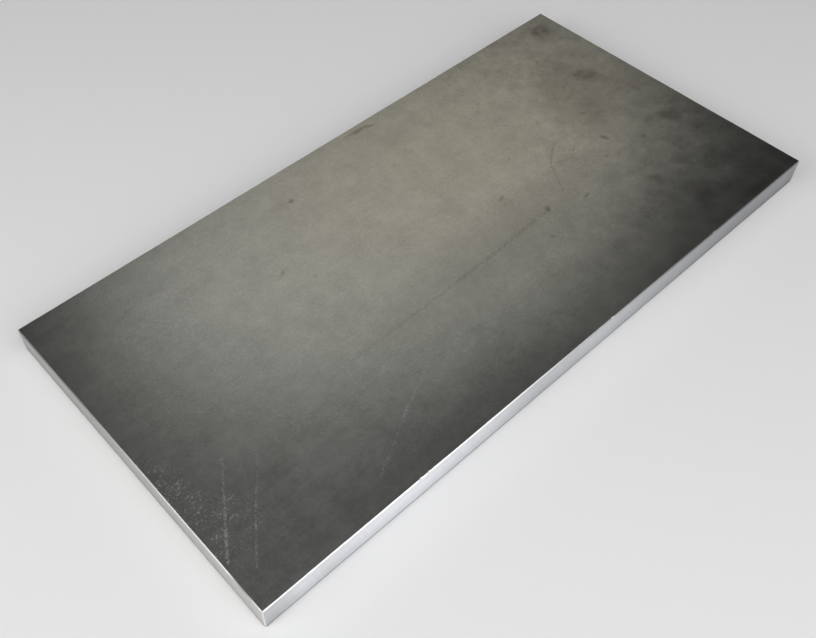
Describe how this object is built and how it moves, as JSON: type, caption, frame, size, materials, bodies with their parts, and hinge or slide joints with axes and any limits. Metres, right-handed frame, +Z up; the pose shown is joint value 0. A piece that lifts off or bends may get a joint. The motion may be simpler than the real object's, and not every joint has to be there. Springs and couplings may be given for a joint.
{
  "type": "aluminum plate",
  "caption": "Flat rectangular plate of rolled aluminium with sawn sides and lightly broken edges, a blank for cutting, drilling or machining.",
  "frame": {"origin": "middle of the underside, which rests on the floor", "axes": "+X along the length and the rolling direction, +Y across the width, +Z up through the thickness"},
  "size_m": [0.3048, 0.1524, 0.0127],
  "materials": {
    "plate_metal": "satin mill finish on the rolled faces, brighter sawn sides and filed edges"
  },
  "bodies": {
    "root": {"plate": "plate_metal"}
  },
  "joints": []
}
